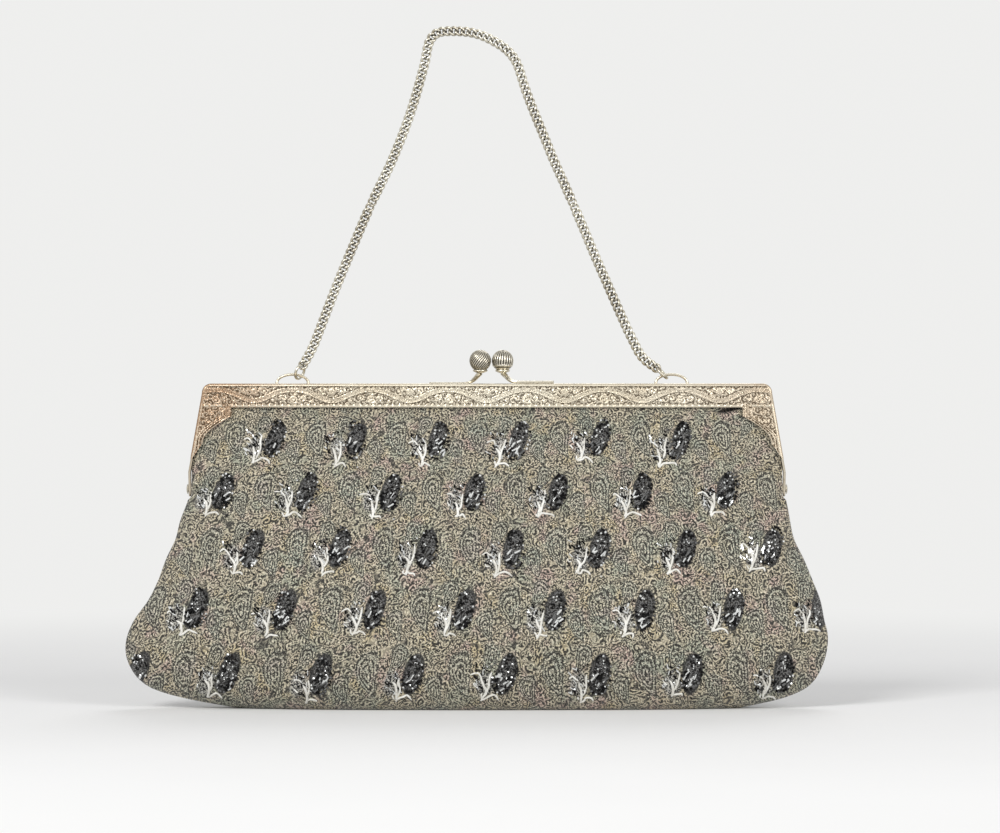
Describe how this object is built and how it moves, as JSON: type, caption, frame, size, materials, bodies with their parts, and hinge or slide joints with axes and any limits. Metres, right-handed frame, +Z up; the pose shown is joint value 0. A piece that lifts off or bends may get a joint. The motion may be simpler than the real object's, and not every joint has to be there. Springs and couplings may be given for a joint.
{
  "type": "beaded evening bag",
  "caption": "Small frame purse: printed beaded cloth pouch on a hinged embossed metal frame with a kiss clasp and a curb chain handle.",
  "frame": {"origin": "middle of the flat base that the bag stands on", "axes": "+X to the right seen from the front, the front faces -Y, +Z up"},
  "size_m": [0.2482, 0.038, 0.2413],
  "materials": {
    "frame_metal": "aged champagne silver plate, embossed scrolls, dark in the recesses",
    "clasp_metal": "aged silver plate, fluted and worn bright on the ridges",
    "chain_metal": "pale silver plate, lightly tarnished",
    "beaded_cloth": "printed grey-green and gold paisley cloth with gunmetal and silver bead sprigs",
    "lining_cloth": "champagne satin",
    "rail_cord": "twisted brown paper cord"
  },
  "bodies": {
    "pouch": {"front_pouch": "beaded_cloth", "back_pouch": "beaded_cloth", "front_pouch_lining": "lining_cloth", "back_pouch_lining": "lining_cloth", "left_rivet": "frame_metal", "right_rivet": "frame_metal"},
    "front_half": {"front_frame": "frame_metal", "front_rail_cord": "rail_cord", "front_panel": "beaded_cloth", "front_panel_lining": "lining_cloth", "front_clasp_arm": "clasp_metal", "front_clasp_ball": "clasp_metal", "front_ball_cup": "clasp_metal"},
    "back_half": {"back_frame": "frame_metal", "back_rail_cord": "rail_cord", "back_panel": "beaded_cloth", "back_panel_lining": "lining_cloth", "back_clasp_arm": "clasp_metal", "back_clasp_ball": "clasp_metal", "back_ball_cup": "clasp_metal", "left_lug": "chain_metal", "right_lug": "chain_metal"},
    "chain_lower": {"left_jump_ring": "chain_metal", "right_jump_ring": "chain_metal", "chain_left_lower": "chain_metal", "chain_right_lower": "chain_metal"},
    "chain_upper": {"chain_left_upper": "chain_metal", "chain_top": "chain_metal", "chain_right_upper": "chain_metal"}
  },
  "joints": [
    {"name": "front_opening", "type": "hinge", "parent": "pouch", "child": "front_half", "pos_m": [0, 0, 0.0775], "axis": [1, 0, 0], "range_deg": [0, 50]},
    {"name": "back_opening", "type": "hinge", "parent": "pouch", "child": "back_half", "pos_m": [0, 0, 0.0775], "axis": [1, 0, 0], "range_deg": [-50, 0]},
    {"name": "chain_swing", "type": "hinge", "parent": "back_half", "child": "chain_lower", "pos_m": [0, 0.00282, 0.11807], "axis": [1, 0, 0], "range_deg": [-100, 100]},
    {"name": "chain_fold", "type": "hinge", "parent": "chain_lower", "child": "chain_upper", "pos_m": [0, 0.00282, 0.1783], "axis": [1, 0, 0], "range_deg": [-20, 20]}
  ],
  "couplings": [
    {"joint": "back_opening", "follows": "front_opening", "ratio": -1}
  ]
}
